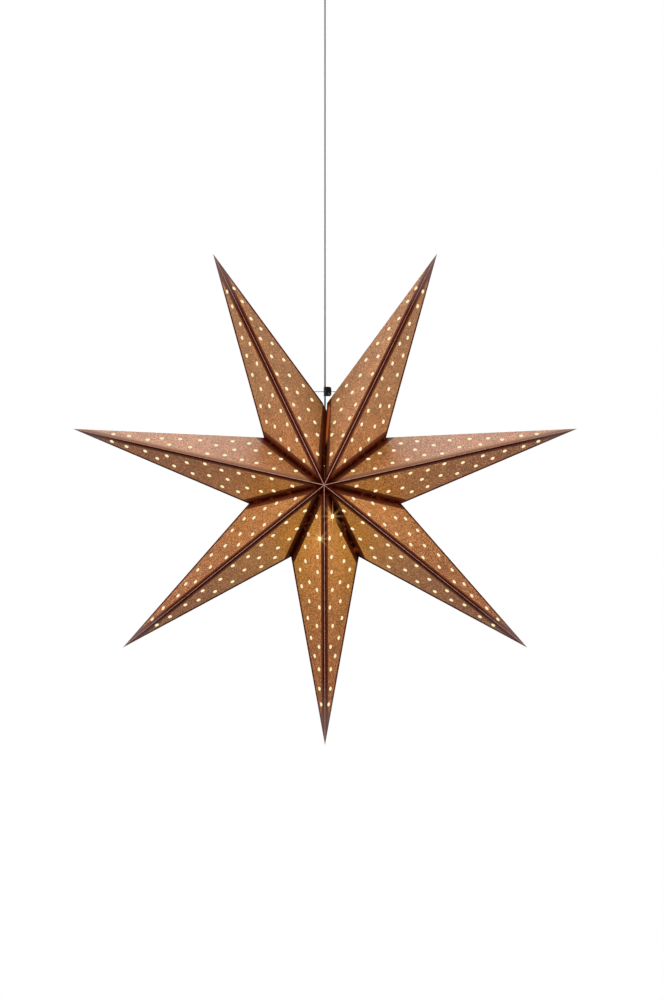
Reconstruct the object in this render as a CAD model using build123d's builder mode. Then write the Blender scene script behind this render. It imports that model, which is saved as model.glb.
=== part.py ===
"""Seven-pointed star pendant light: folded, pierced card points round a lamp on a thin cord.

Millimetres, +Z up. The origin is the centre of the ceiling bracket's top face, where the fitting
meets the ceiling. The star's face looks along -Y, and its centre hangs straight below the origin.
"""

import os
from math import acos, asin, atan2, copysign, cos, degrees, hypot, pi, radians, sin, sqrt

from build123d import *

# Star, measured in its own plane from the hub axis, which runs along Y
point_count = 7
tip_radius = 308.0
notch_radius = 93.0
half_depth = 80.0
card = 0.6

# Seam between the two upper points, left open for the cord
seam_notch_radius = 99.0
seam_opening = 4.8

# Glue flaps folded in along the valleys
flap_width = 8.0
flap_hub_gap = 16.0
flap_notch_gap = 8.0

# Flaps of the left seam point that carry its panels on across the seam, inside the right one
closing_width = 12.0
closing_hub_gap = 30.0
closing_notch_gap = 14.0
lap_width = 5.2
lap_notch_gap = 7.0

# Punched holes of one panel, in three loose rows from the ridge out to the valley.
# Each is a share of the ridge's length from the hub, and a share of the panel's width there.
# The back's rows sit further out, so that no hole looks straight through the star.
hole_radius = 2.5
hole_sides = 5
back_row_shift = 9.0
ridge_row = [
    (0.129, 0.56),
    (0.209, 0.23),
    (0.282, 0.23),
    (0.340, 0.21),
    (0.409, 0.26),
    (0.473, 0.20),
    (0.548, 0.35),
    (0.626, 0.31),
    (0.713, 0.41),
    (0.788, 0.52),
    (0.846, 0.49),
]
middle_row = [
    (0.208, 0.73),
    (0.315, 0.57),
    (0.390, 0.50),
    (0.464, 0.58),
    (0.603, 0.70),
    (0.668, 0.62),
]
valley_row = [(0.260, 0.70), (0.355, 0.77), (0.417, 0.80), (0.531, 0.73)]

# Clearances
running_gap = 0.05
seat_gap = 0.1

# Cord, and the two cores inside it
cord_radius = 1.0
cord_drop = 600.0
cord_entry = 17.0
core_radius = 0.4
core_spread = 0.45
core_bend = 3.0
core_lead = 3.0
core_grip = 5.0

# Ceiling cup and its bracket
cup_radius = 40.0
cup_height = 46.0
cup_wall = 1.2
cup_corner = 10.0
bracket_width = 16.0
bracket_sheet = 1.5
bracket_bend = 1.0
tab_height = 14.0
slot_spacing = 50.0
slot_width = 4.5
slot_length = 10.0
side_screw_radius = 1.75
side_screw_drop = 8.0
side_screw_bite = 2.5
screw_head_radius = 3.2
screw_head_height = 1.8

# Terminal block under the bracket
block_length = 24.0
block_width = 16.0
block_height = 14.0
pole_pitch = 10.0
pole_bore_radius = 1.0
pole_bore_depth = 8.0
mains_bore_radius = 1.5
mains_bore_depth = 5.0
mains_bore_drop = 4.5
clamp_screw_radius = 1.2
block_screw_radius = 1.5
block_screw_setback = 4.0
block_head_radius = 2.7
block_head_height = 2.0

# Cord grip in the cup's bottom
grip_radius = 7.0
grip_length = 16.0
grip_round = 2.0
mouth_chamfer = 0.8
thread_radius = 5.0
thread_proud = 1.5
nut_radius = 8.5
nut_sides = 6
nut_height = 4.0
tail_proud = 2.5
grip_screw_radius = 1.5
grip_screw_inset = 0.5

# Hanger wire through the two upper points, and the clip that holds it to the cord
wire_radius = 0.6
wire_above_notch = 14.0
wire_setback = 4.0
wire_half_span = 30.0
wire_hook = 8.0
wire_bend = 2.5
wire_hole_gap = 0.3
wire_hole_sides = 6
clip_below_wire = 5.5
clip_height = 11.0
clip_right = 7.6
clip_lip = 0.55
clip_depth = 6.5
plate_left = 0.3
plate_depth = 1.6
clip_screw_across = 4.7
clip_screw_rise = 2.4
clip_screw_radius = 0.9
clip_screw_length = 4.0
clip_head_radius = 1.5
clip_head_height = 0.9

# Lampholder, turned about the cord's axis
holder_rise = 47.0
holder_radius = 14.0
holder_wall = 1.6
cap_height = 27.0
cap_neck_radius = 5.0
cap_neck_height = 14.0
cap_band = 8.0
cap_round = 1.2
body_height = 36.0
body_round = 0.7
spigot_height = 6.0
flange_drop = 14.0
flange_height = 2.0
flange_bore = 8.0
carrier_height = 9.0
terminal_side = 5.0
terminal_offset = 6.0
socket_radius = 6.95
shell_wall = 0.35
shell_length = 19.5
shell_lip_radius = 3.5
contact_radius = 2.5
contact_height = 3.0
rivet_radius = 1.2
cap_screw_radius = 1.5
cap_screw_drop = 4.5

# Lamp screwed up into the holder
lamp_cap_length = 21.5
lamp_cap_wall = 0.35
lamp_cap_eye = 2.0
insulator_height = 3.0
insulator_base = 5.5
insulator_top = 3.0
tip_contact_radius = 2.3
tip_contact_height = 1.5
globe_radius = 22.5
globe_drop = 26.0
glass_wall = 0.8
glass_in_cap = 9.0
glass_neck_below = 1.0
stem_flare_height = 2.0
stem_taper = 8.0
stem_radius = 2.2
stem_length = 16.0
post_radius = 0.6
spider_radius = 11.6
spider_thickness = 0.8
spider_gap = 3.0
filament_count = 3
filament_radius = 1.0
filament_circle = 10.0
filament_length = 31.0

# Heights worked out from the sizes above
cup_floor = -cup_height
mouth_z = cup_floor - grip_length
star_z = mouth_z - cord_drop
thread_top = cup_floor + cup_wall + nut_height + thread_proud
tail_top = thread_top + tail_proud
block_bottom = -bracket_sheet - block_height
holder_top = star_z + holder_rise
cap_bottom = holder_top - cap_height
body_bottom = cap_bottom - body_height
flange_top = cap_bottom - flange_drop
carrier_top = flange_top + carrier_height
contact_z = flange_top - contact_height
insulator_z = contact_z - tip_contact_height
lamp_cap_top = insulator_z - insulator_height
lamp_cap_bottom = lamp_cap_top - lamp_cap_length
globe_z = lamp_cap_bottom - globe_drop
glass_top = lamp_cap_bottom + glass_in_cap
stem_bottom = glass_top - stem_length
cord_bottom = holder_top - cord_entry
wire_z = star_z + seam_notch_radius + wire_above_notch

# Radii of the fits
cord_bore = cord_radius + running_gap
cup_bore = cup_radius - cup_wall
cap_bore = holder_radius - holder_wall
spigot_radius = cap_bore - running_gap
spigot_bore = spigot_radius - holder_wall
lamp_cap_radius = socket_radius - running_gap
glass_neck_radius = lamp_cap_radius - lamp_cap_wall - seat_gap

# Angles of the star
pitch = 360.0 / point_count
half_angle = pitch / 2
seam_angle = degrees(asin(seam_opening / 2 / seam_notch_radius))

# The lap narrows towards the hub as the seam does
seam_length = hypot(seam_notch_radius, half_depth)
lap_hub_width = lap_width * closing_hub_gap / (seam_length - lap_notch_gap)


def turn(outline, mode=Mode.ADD):
    """Turn an outline of (radius, height) corners about the cord's axis, in the piece being built."""
    with BuildSketch(Plane.XZ) as profile:
        with BuildLine():
            Polyline(*outline, close=True)
        make_face()
    revolve(profile.sketch, axis=Axis.Z, mode=mode)


def cross_bore(radius, across, height, start, end):
    """Cut a round hole along Y, at a place across and up the piece being built, from start to end."""
    with BuildSketch(Plane.XZ.offset(-start)) as bore:
        with Locations((across, height)):
            Circle(radius)
    extrude(bore.sketch, amount=start - end, mode=Mode.SUBTRACT)


def cross_pin(radius, across, height, start, end):
    """Add a round pin along Y, at a place across and up the piece being built, from start to end."""
    with BuildSketch(Plane.XZ.offset(-start)) as pin:
        with Locations((across, height)):
            Circle(radius)
    extrude(pin.sketch, amount=start - end)


def lead(points):
    """Sweep one core of the cord along a planar route of (across, height) points."""
    with BuildLine(Plane.XZ) as route:
        FilletPolyline(*points, radius=core_bend)
    with BuildSketch(Plane(origin=route.line @ 0, z_dir=route.line % 0)) as section:
        Circle(core_radius)
    sweep(section.sketch, path=route.line)


def finish(piece, name):
    """Label a finished piece and write it."""
    piece.part.label = name
    export_step(piece.part, f"parts/{name}.step")


os.makedirs("parts", exist_ok=True)

# Ceiling bracket: a steel strap with two slots for ceiling screws and two tabs for the cup's screws
tab_face = sqrt(cup_bore**2 - (bracket_width / 2) ** 2) - seat_gap
tab_inside = tab_face - bracket_sheet
with BuildPart() as bracket:
    with BuildSketch(Plane.XZ) as strap:
        with BuildLine():
            Polyline(
                (-tab_face, -tab_height),
                (-tab_face, 0),
                (tab_face, 0),
                (tab_face, -tab_height),
                (tab_inside, -tab_height),
                (tab_inside, -bracket_sheet),
                (-tab_inside, -bracket_sheet),
                (-tab_inside, -tab_height),
                close=True,
            )
        make_face()
        fillet(strap.vertices().group_by(Axis.Y)[-1], bracket_bend + bracket_sheet)
        inner_bends = strap.vertices().group_by(Axis.Y)[-2]
        fillet(inner_bends, bracket_bend)
    extrude(amount=bracket_width / 2, both=True)
    with BuildSketch(Plane.XY):
        with GridLocations(slot_spacing, 0, 2, 1):
            SlotOverall(slot_length, slot_width)
        with Locations((0, block_screw_setback)):
            Circle(block_screw_radius + running_gap)
    extrude(amount=-bracket_sheet, mode=Mode.SUBTRACT)
    with BuildSketch(Plane.YZ):
        with Locations((0, -side_screw_drop)):
            Circle(side_screw_radius + running_gap)
    extrude(amount=cup_radius, both=True, mode=Mode.SUBTRACT)
finish(bracket, "ceiling_bracket")

# Ceiling cup: a drawn steel cup, open against the ceiling
with BuildPart() as cup:
    with BuildSketch(Plane.XZ) as cup_profile:
        with BuildLine():
            Polyline(
                (thread_radius + seat_gap, cup_floor),
                (cup_radius, cup_floor),
                (cup_radius, 0),
                (cup_bore, 0),
                (cup_bore, cup_floor + cup_wall),
                (thread_radius + seat_gap, cup_floor + cup_wall),
                close=True,
            )
        make_face()
        fillet(cup_profile.vertices().sort_by_distance((cup_radius, cup_floor))[0], cup_corner)
        inner_corner = cup_profile.vertices().sort_by_distance((cup_bore, cup_floor + cup_wall))[0]
        fillet(inner_corner, cup_corner - cup_wall)
    revolve(axis=Axis.Z)
    with BuildSketch(Plane.YZ):
        with Locations((0, -side_screw_drop)):
            Circle(side_screw_radius + seat_gap)
    extrude(amount=2 * cup_radius, both=True, mode=Mode.SUBTRACT)
finish(cup, "ceiling_cup")

# Cup screws: one through each side of the cup into a tab
with BuildPart() as cup_screws:
    with BuildSketch(Plane.YZ.offset(tab_inside - side_screw_bite)):
        with Locations((0, -side_screw_drop)):
            Circle(side_screw_radius)
    extrude(amount=cup_radius - tab_inside + side_screw_bite)
    with BuildSketch(Plane.YZ.offset(cup_radius)):
        with Locations((0, -side_screw_drop)):
            Circle(screw_head_radius)
    extrude(amount=screw_head_height)
    mirror(about=Plane.YZ)
finish(cup_screws, "cup_screws")

# Terminal block: two poles, each with a core bore from below and a mains bore from the side
mains_z = -bracket_sheet - mains_bore_drop
core_clamp_z = block_bottom + core_grip / 2
mains_clamp_x = (block_length - mains_bore_depth) / 2
with BuildPart() as block:
    with BuildSketch(Plane.XY.offset(block_bottom)):
        Rectangle(block_length, block_width)
    extrude(amount=block_height)
    with BuildSketch(Plane.XY.offset(block_bottom)):
        with GridLocations(pole_pitch, 0, 2, 1):
            Circle(pole_bore_radius)
    extrude(amount=pole_bore_depth, mode=Mode.SUBTRACT)
    with BuildSketch(Plane.XY.offset(block_bottom)):
        with Locations((0, block_screw_setback)):
            Circle(block_screw_radius + running_gap)
    extrude(amount=block_height, mode=Mode.SUBTRACT)
    for side in (-1, 1):
        with BuildSketch(Plane.YZ.offset(side * block_length / 2)):
            with Locations((0, mains_z)):
                Circle(mains_bore_radius)
        extrude(amount=-side * mains_bore_depth, mode=Mode.SUBTRACT)
        cross_bore(clamp_screw_radius + running_gap, side * pole_pitch / 2, core_clamp_z, -block_width / 2, 0)
        cross_bore(clamp_screw_radius + running_gap, side * mains_clamp_x, mains_z, -block_width / 2, 0)
finish(block, "terminal_block")

# Terminal screws: one on each core and one over each mains bore
with BuildPart() as terminal_screws:
    for side in (-1, 1):
        cross_pin(
            clamp_screw_radius, side * pole_pitch / 2, core_clamp_z, -block_width / 2, -core_radius - running_gap
        )
        cross_pin(clamp_screw_radius, side * mains_clamp_x, mains_z, -block_width / 2, -mains_bore_radius)
finish(terminal_screws, "terminal_screws")

# Block screw: up through the block into the bracket
with BuildPart() as block_screw:
    with BuildSketch(Plane.XY.offset(block_bottom)):
        with Locations((0, block_screw_setback)):
            Circle(block_screw_radius)
    extrude(amount=block_height + bracket_sheet)
    with BuildSketch(Plane.XY.offset(block_bottom)):
        with Locations((0, block_screw_setback)):
            Circle(block_head_radius)
    extrude(amount=-block_head_height)
finish(block_screw, "block_screw")

# Cord grip: a threaded gland in the cup's floor, with a flared mouth for the cord to swing in
grip_screw_z = (mouth_z + cup_floor) / 2
with BuildPart() as grip:
    turn(
        [
            (cord_bore, mouth_z),
            (grip_radius, mouth_z),
            (grip_radius, cup_floor),
            (thread_radius, cup_floor),
            (thread_radius, thread_top),
            (cord_bore, thread_top),
        ]
    )
    mouth_edges = grip.edges().filter_by(GeomType.CIRCLE).group_by(Axis.Z)[0].sort_by(SortBy.RADIUS)
    chamfer(mouth_edges[0], mouth_chamfer)
    fillet(mouth_edges[-1], grip_round)
    cross_bore(grip_screw_radius + running_gap, 0, grip_screw_z, grip_radius, 0)
finish(grip, "cord_grip")

# Grip nut: clamps the gland to the cup's floor from inside
with BuildPart() as grip_nut:
    with BuildSketch(Plane.XY.offset(cup_floor + cup_wall)):
        RegularPolygon(nut_radius, nut_sides)
        Circle(thread_radius + running_gap, mode=Mode.SUBTRACT)
    extrude(amount=nut_height)
finish(grip_nut, "grip_nut")

# Grip screw: presses on the cord from behind
with BuildPart() as grip_screw:
    cross_pin(grip_screw_radius, 0, grip_screw_z, grip_radius - grip_screw_inset, cord_bore)
finish(grip_screw, "grip_screw")

# Cord tail: the held end of the cord, up through the grip into the cup
with BuildPart() as tail:
    tail_bottom = mouth_z + cord_radius + running_gap
    with BuildSketch(Plane.XY.offset(tail_bottom)):
        Circle(cord_radius)
    extrude(amount=tail_top - tail_bottom)
finish(tail, "cord_tail")

# Ceiling cores: from the tail's end up into the terminal block
with BuildPart() as ceiling_cores:
    for side in (-1, 1):
        pole_x = side * pole_pitch / 2
        lead(
            [
                (side * core_spread, tail_top),
                (side * core_spread, tail_top + core_lead + core_bend),
                (pole_x, block_bottom - core_lead - core_bend),
                (pole_x, block_bottom + core_grip),
            ]
        )
finish(ceiling_cores, "ceiling_cores")

# Cord: one straight taut run from the grip's mouth into the lampholder, rounded where it swings
with BuildPart() as cord:
    with BuildSketch(Plane.XZ):
        with BuildLine():
            CenterArc((0, mouth_z), cord_radius, 0, 90)
            Polyline(
                (0, mouth_z + cord_radius),
                (0, cord_bottom),
                (cord_radius, cord_bottom),
                (cord_radius, mouth_z),
            )
        make_face()
    revolve(axis=Axis.Z)
finish(cord, "cord")


def panel_plane(depth_side, edge_side, notch, inset=0.0):
    """The outer face of one panel, with X along its ridge from the hub, pushed in by inset.

    A panel runs from the hub on one face of the star, along the ridge to the tip, and down to the
    notch at one edge. notch is that edge's (radius, angle) from the point's own middle line.
    """
    hub = Vector(0, depth_side * half_depth, 0)
    ridge = Vector(tip_radius, 0, 0) - hub
    radius, angle = notch
    corner = Vector(radius * cos(radians(angle)), 0, edge_side * radius * sin(radians(angle)))
    normal = ridge.cross(corner - hub).normalized() * -edge_side * depth_side
    return Plane(origin=hub - normal * inset, x_dir=ridge, z_dir=normal), corner


def cut_to_panels(notches, inset=0.0):
    """Trim the block being built to the four panels of a point."""
    for depth_side in (-1, 1):
        for edge_side in (-1, 1):
            plane, _ = panel_plane(depth_side, edge_side, notches[edge_side], inset)
            split(bisect_by=plane, keep=Keep.BOTTOM)


def glue_flap(depth_side, edge_side, notch):
    """Add the flap that is folded in along one valley, on the point's own side of the joint."""
    radius, angle = notch
    out = Vector(cos(radians(angle)), 0, edge_side * sin(radians(angle)))
    joint = Plane(origin=(0, 0, 0), x_dir=out, z_dir=(-edge_side * out.Z, 0, edge_side * out.X))
    side = depth_side * joint.y_dir.Y
    length = hypot(radius, half_depth)
    run = Vector(radius, -side * half_depth) / length
    inward = Vector(-half_depth, -side * radius) / length
    hub = Vector(0, side * half_depth)
    corners = [
        hub + run * flap_hub_gap,
        hub + run * (length - flap_notch_gap),
        hub + run * (length - flap_notch_gap - flap_width) + inward * flap_width,
        hub + run * (flap_hub_gap + flap_width) + inward * flap_width,
    ]
    with BuildSketch(joint) as flap:
        with BuildLine():
            Polyline(*[(corner.X, corner.Y) for corner in corners], close=True)
        make_face()
    extrude(flap.sketch, amount=-card)


def closing_flap(depth_side, edge_side, notch, hub_width, notch_width, notch_gap):
    """Add the flap that carries one panel on across the seam, inside the neighbouring point."""
    plane, corner = panel_plane(depth_side, edge_side, notch)
    edge = plane.to_local_coords(corner)
    length = hypot(edge.X, edge.Y)
    run = Vector(edge.X, edge.Y) / length
    across = Vector(-run.Y, run.X) * copysign(1, edge.Y)
    near = run * closing_hub_gap
    far = run * (length - notch_gap)
    corners = [near, far, far + across * notch_width, near + across * hub_width]
    with BuildSketch(plane) as flap:
        with BuildLine():
            Polyline(*[(corner.X, corner.Y) for corner in corners], close=True)
        make_face()
    extrude(flap.sketch, amount=-card)


def punch(depth_side, edge_side, notch):
    """Cut the rows of holes through one panel."""
    plane, corner = panel_plane(depth_side, edge_side, notch)
    ridge = hypot(tip_radius, half_depth)
    edge = plane.to_local_coords(corner)
    places = []
    for along, out in ridge_row + middle_row + valley_row:
        reach = along * ridge + (back_row_shift if depth_side > 0 else 0)
        width = edge.Y * min(reach / edge.X, (ridge - reach) / (ridge - edge.X))
        places.append((reach, out * width))
    with BuildSketch(plane) as holes:
        with Locations(*places):
            RegularPolygon(hole_radius, hole_sides)
    extrude(holes.sketch, amount=-2 * card, mode=Mode.SUBTRACT)


def folded_point(notches, seam_edge=0, closing=False):
    """One hollow point folded from card, lying along +X, open towards the hub axis.

    notches gives the (radius, angle) of the notch at its lower edge, -1, and its upper edge, 1.
    A point beside the seam has it at seam_edge. The closing one has a narrow lap there on its front
    and a wide flap on its back, and the other one has a glue flap on its front and none on its back.
    """
    reach = 2 * tip_radius
    with BuildPart() as hollow:
        with BuildSketch(Plane.XZ):
            Rectangle(2 * reach, 2 * reach)
        extrude(amount=2 * half_depth, both=True)
        cut_to_panels(notches, card)
    with BuildPart() as point:
        rays = [(reach * cos(radians(a)), e * reach * sin(radians(a))) for e, (_, a) in notches.items()]
        with BuildSketch(Plane.XZ):
            with BuildLine():
                Polyline((0, 0), *rays, close=True)
            make_face()
        extrude(amount=2 * half_depth, both=True)
        cut_to_panels(notches)
        add(hollow.part, mode=Mode.SUBTRACT)
        for depth_side in (-1, 1):
            for edge_side in (-1, 1):
                notch = notches[edge_side]
                punch(depth_side, edge_side, notch)
                at_seam = edge_side == seam_edge
                if at_seam and closing and depth_side < 0:
                    closing_flap(depth_side, edge_side, notch, lap_hub_width, lap_width, lap_notch_gap)
                elif at_seam and closing:
                    closing_flap(depth_side, edge_side, notch, closing_width, closing_width, closing_notch_gap)
                elif not at_seam or depth_side < 0:
                    glue_flap(depth_side, edge_side, notch)
    return point.part


# Star points, numbered clockwise from the left of the seam. The two beside the seam are a little
# narrower on that side, where the left one's flaps close it, and the hanger wire goes through their
# walls.
valley = (notch_radius, half_angle)
seam = (seam_notch_radius, half_angle - seam_angle)
plain_point = folded_point({-1: valley, 1: valley})
left_point = folded_point({-1: seam, 1: valley}, seam_edge=-1, closing=True)
right_point = folded_point({-1: valley, 1: seam}, seam_edge=1)
for number in range(point_count):
    blank = {0: left_point, 1: right_point}.get(number, plain_point)
    tilt = 90 + half_angle - number * pitch
    with BuildPart() as star_point:
        add(blank.moved(Location((0, 0, star_z), (0, -tilt, 0))))
        if blank is not plain_point:
            with BuildSketch(Plane.YZ):
                with Locations((wire_setback, wire_z)):
                    RegularPolygon(wire_radius + wire_hole_gap, wire_hole_sides, major_radius=False)
            extrude(amount=wire_half_span, both=True, mode=Mode.SUBTRACT)
    finish(star_point, f"star_point_{number + 1}")

# Hanger wire: across the seam and through both upper points, with its ends bent down inside them
with BuildPart() as wire:
    with BuildLine(Plane.XZ.offset(-wire_setback)) as wire_route:
        FilletPolyline(
            (-wire_half_span, wire_z - wire_hook),
            (-wire_half_span, wire_z),
            (wire_half_span, wire_z),
            (wire_half_span, wire_z - wire_hook),
            radius=wire_bend,
        )
    with BuildSketch(Plane(origin=wire_route.line @ 0, z_dir=wire_route.line % 0)):
        Circle(wire_radius)
    sweep(path=wire_route.line)
finish(wire, "hanger_wire")

# Clip body: a small block beside the cord, with a slot for the cord and a bore for the wire
clip_z = wire_z - clip_below_wire
clip_left = -cord_bore - clip_lip
clip_screw_z = clip_z + clip_screw_rise
with BuildPart() as clip:
    with BuildSketch(Plane.XY.offset(clip_z)) as clip_section:
        with BuildLine():
            Polyline(
                (clip_left, -cord_bore),
                (clip_right, -cord_bore),
                (clip_right, clip_depth),
                (clip_left, clip_depth),
                close=True,
            )
        make_face()
        Circle(cord_bore, mode=Mode.SUBTRACT)
        with Locations((0, -cord_bore)):
            Rectangle(2 * cord_bore, 2 * cord_bore, mode=Mode.SUBTRACT)
    extrude(amount=clip_height)
    with BuildSketch(Plane.YZ.offset(clip_left)):
        with Locations((wire_setback, wire_z)):
            Circle(wire_radius + running_gap)
    extrude(amount=clip_right - clip_left, mode=Mode.SUBTRACT)
    cross_bore(
        clip_screw_radius + running_gap,
        clip_screw_across,
        clip_screw_z,
        -cord_bore,
        clip_screw_length - plate_depth - cord_bore,
    )
finish(clip, "clip_body")

# Clip plate: closes the slot over half of the cord
with BuildPart() as clip_plate:
    with BuildSketch(Plane.XZ.offset(cord_bore)):
        with Locations(((plate_left + clip_right) / 2, clip_z + clip_height / 2)):
            Rectangle(clip_right - plate_left, clip_height)
    extrude(amount=plate_depth)
    cross_bore(
        clip_screw_radius + running_gap, clip_screw_across, clip_screw_z, -cord_bore - plate_depth, -cord_bore
    )
finish(clip_plate, "clip_plate")

# Clip screw: holds the plate to the body
plate_face = -cord_bore - plate_depth
with BuildPart() as clip_screw:
    cross_pin(clip_screw_radius, clip_screw_across, clip_screw_z, plate_face, plate_face + clip_screw_length)
    cross_pin(clip_head_radius, clip_screw_across, clip_screw_z, plate_face - clip_head_height, plate_face)
finish(clip_screw, "clip_screw")

# Lampholder cap: a domed cap with a neck that the cord goes into
cap_shoulder = cap_bottom + cap_band
neck_bottom = holder_top - cap_neck_height
with BuildPart() as holder_cap:
    turn(
        [
            (cord_bore, holder_top),
            (cap_neck_radius, holder_top),
            (cap_neck_radius, neck_bottom),
            (holder_radius, cap_shoulder),
            (holder_radius, cap_bottom),
            (cap_bore, cap_bottom),
            (cap_bore, cap_shoulder - holder_wall / 2),
            (cap_neck_radius, neck_bottom - holder_wall),
            (cord_bore, neck_bottom - holder_wall),
        ]
    )
    rims = holder_cap.edges().filter_by(GeomType.CIRCLE)
    fillet(rims.group_by(Axis.Z)[-1].sort_by(SortBy.RADIUS)[-1], cap_round)
    cross_bore(cap_screw_radius + running_gap, 0, holder_top - cap_screw_drop, cap_neck_radius, 0)
finish(holder_cap, "holder_cap")

# Cap screw: grips the cord in the neck from behind
with BuildPart() as cap_screw:
    cross_pin(
        cap_screw_radius, 0, holder_top - cap_screw_drop, cap_neck_radius - grip_screw_inset, cord_bore
    )
finish(cap_screw, "cap_screw")

# Lampholder body: a plain skirt with a spigot inside the cap and a flange that carries the contacts
with BuildPart() as holder_body:
    turn(
        [
            (spigot_bore, cap_bottom + spigot_height),
            (spigot_radius, cap_bottom + spigot_height),
            (spigot_radius, cap_bottom),
            (holder_radius, cap_bottom),
            (holder_radius, body_bottom),
            (cap_bore, body_bottom),
            (cap_bore, flange_top - flange_height),
            (flange_bore, flange_top - flange_height),
            (flange_bore, flange_top),
            (spigot_bore, flange_top),
        ]
    )
    skirt_rim = holder_body.edges().filter_by(GeomType.CIRCLE).group_by(Axis.Z)[0]
    fillet(skirt_rim, body_round)
finish(holder_body, "holder_body")

# Contact carrier: an insulating disc that sits on the body's flange
with BuildPart() as carrier:
    turn(
        [
            (rivet_radius + running_gap, flange_top),
            (spigot_bore - running_gap, flange_top),
            (spigot_bore - running_gap, carrier_top),
            (rivet_radius + running_gap, carrier_top),
        ]
    )
finish(carrier, "contact_carrier")

# Centre contact: a button with a rivet up through the carrier
with BuildPart() as centre_contact:
    turn(
        [
            (0, contact_z),
            (contact_radius, contact_z),
            (contact_radius, flange_top),
            (rivet_radius, flange_top),
            (rivet_radius, carrier_top),
            (0, carrier_top),
        ]
    )
finish(centre_contact, "centre_contact")

# Threaded shell: the socket's metal sleeve, hung from the carrier
shell_radius = socket_radius + shell_wall
with BuildPart() as shell:
    turn(
        [
            (shell_lip_radius, flange_top),
            (shell_radius, flange_top),
            (shell_radius, flange_top - shell_length),
            (socket_radius, flange_top - shell_length),
            (socket_radius, flange_top - shell_wall),
            (shell_lip_radius, flange_top - shell_wall),
        ]
    )
finish(shell, "threaded_shell")

# Holder terminals: two brass blocks on the carrier, bored from above for the cores
terminal_top = carrier_top + terminal_side
terminal_clamp_z = carrier_top + terminal_side / 2
with BuildPart() as terminals:
    with BuildSketch(Plane.XY.offset(carrier_top)):
        with GridLocations(2 * terminal_offset, 0, 2, 1):
            Rectangle(terminal_side, terminal_side)
            Circle(pole_bore_radius, mode=Mode.SUBTRACT)
    extrude(amount=terminal_side)
    for side in (-1, 1):
        cross_bore(
            clamp_screw_radius + running_gap, side * terminal_offset, terminal_clamp_z, -terminal_side / 2, 0
        )
finish(terminals, "holder_terminals")

# Holder terminal screws: one on each core
with BuildPart() as holder_screws:
    for side in (-1, 1):
        cross_pin(
            clamp_screw_radius,
            side * terminal_offset,
            terminal_clamp_z,
            -terminal_side / 2,
            -core_radius - running_gap,
        )
finish(holder_screws, "holder_terminal_screws")

# Holder cores: from the cord's lower end down into the terminals
with BuildPart() as holder_cores:
    for side in (-1, 1):
        lead(
            [
                (side * core_spread, cord_bottom),
                (side * core_spread, cord_bottom - core_lead),
                (side * terminal_offset, terminal_top + core_lead),
                (side * terminal_offset, carrier_top + running_gap),
            ]
        )
finish(holder_cores, "holder_cores")

# Lamp cap: the metal screw cap, with an eye for the lead to its tip
with BuildPart() as lamp_cap:
    turn(
        [
            (lamp_cap_eye, lamp_cap_top),
            (lamp_cap_radius, lamp_cap_top),
            (lamp_cap_radius, lamp_cap_bottom),
            (lamp_cap_radius - lamp_cap_wall, lamp_cap_bottom),
            (lamp_cap_radius - lamp_cap_wall, lamp_cap_top - lamp_cap_wall),
            (lamp_cap_eye, lamp_cap_top - lamp_cap_wall),
        ]
    )
finish(lamp_cap, "lamp_cap")

# Lamp insulator: the cone between the cap and the tip
with BuildPart() as insulator:
    turn([(0, lamp_cap_top), (insulator_base, lamp_cap_top), (insulator_top, insulator_z), (0, insulator_z)])
finish(insulator, "lamp_insulator")

# Lamp tip: the contact that meets the holder's centre contact
with BuildPart() as lamp_tip:
    turn([(0, insulator_z), (tip_contact_radius, insulator_z), (tip_contact_radius, contact_z), (0, contact_z)])
finish(lamp_tip, "lamp_tip")


def bulb_blank(neck_radius, radius, top):
    """Turn a solid bulb: a straight neck, a cone tangent to the globe, and the globe."""
    neck_z = lamp_cap_bottom - glass_neck_below
    rise = neck_z - globe_z
    lean = atan2(neck_radius, rise) + acos(radius / hypot(neck_radius, rise))
    touch = (radius * sin(lean), globe_z + radius * cos(lean))
    middle = (lean + pi) / 2
    with BuildSketch(Plane.XZ) as profile:
        with BuildLine():
            Polyline((0, globe_z - radius), (0, top), (neck_radius, top), (neck_radius, neck_z), touch)
            ThreePointArc(
                touch,
                (radius * sin(middle), globe_z + radius * cos(middle)),
                (0, globe_z - radius),
            )
        make_face()
    return profile.sketch


# Lamp glass: a thin globe with its neck cemented into the cap
with BuildPart() as glass:
    revolve(bulb_blank(glass_neck_radius, globe_radius, glass_top), axis=Axis.Z)
    revolve(
        bulb_blank(glass_neck_radius - glass_wall, globe_radius - glass_wall, glass_top),
        axis=Axis.Z,
        mode=Mode.SUBTRACT,
    )
finish(glass, "lamp_glass")

# Lamp stem: the flared glass stem that closes the neck
stem_flare = glass_neck_radius - glass_wall - seat_gap
with BuildPart() as stem:
    turn(
        [
            (0, glass_top),
            (stem_flare, glass_top),
            (stem_flare, glass_top - stem_flare_height),
            (stem_radius, glass_top - stem_flare_height - stem_taper),
            (stem_radius, stem_bottom),
            (0, stem_bottom),
        ]
    )
finish(stem, "lamp_stem")

# Filament post: a wire down from the stem, with a spider at each end of the filaments
upper_spider = stem_bottom - spider_gap
lower_spider = upper_spider - spider_thickness - filament_length
with BuildPart() as post:
    turn(
        [
            (0, stem_bottom),
            (post_radius, stem_bottom),
            (post_radius, upper_spider),
            (spider_radius, upper_spider),
            (spider_radius, upper_spider - spider_thickness),
            (post_radius, upper_spider - spider_thickness),
            (post_radius, lower_spider),
            (spider_radius, lower_spider),
            (spider_radius, lower_spider - spider_thickness),
            (0, lower_spider - spider_thickness),
        ]
    )
finish(post, "filament_post")

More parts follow.
